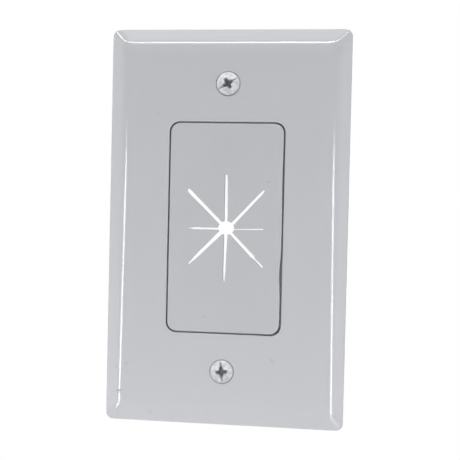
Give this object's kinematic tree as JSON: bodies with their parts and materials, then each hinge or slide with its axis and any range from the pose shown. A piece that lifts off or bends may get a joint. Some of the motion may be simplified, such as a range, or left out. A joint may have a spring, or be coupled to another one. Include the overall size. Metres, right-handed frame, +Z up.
{
  "type": "split cable wall plate",
  "caption": "Bevelled wall cover plate with a soft slit panel that lets cables pass through its flaps, held from behind by a staked frame, with oval head mounting screws.",
  "frame": {"origin": "centre of the plate on the wall plane, midway between the two screw axes", "axes": "+Z up the wall along the plate's long side, +Y into the wall along the screws, +X to the right as seen from the room"},
  "size_m": [0.0706, 0.0265, 0.116],
  "materials": {
    "plate_plastic": "smooth glossy moulded grey",
    "soft_panel": "satin moulded grey elastomer",
    "frame_plastic": "plain matt moulded grey",
    "zinc_steel": "bright zinc plating"
  },
  "bodies": {
    "root": {"cover_plate": "plate_plastic", "slit_insert": "soft_panel", "retaining_frame": "frame_plastic", "upper_mounting_screw": "zinc_steel", "lower_mounting_screw": "zinc_steel"}
  },
  "joints": []
}
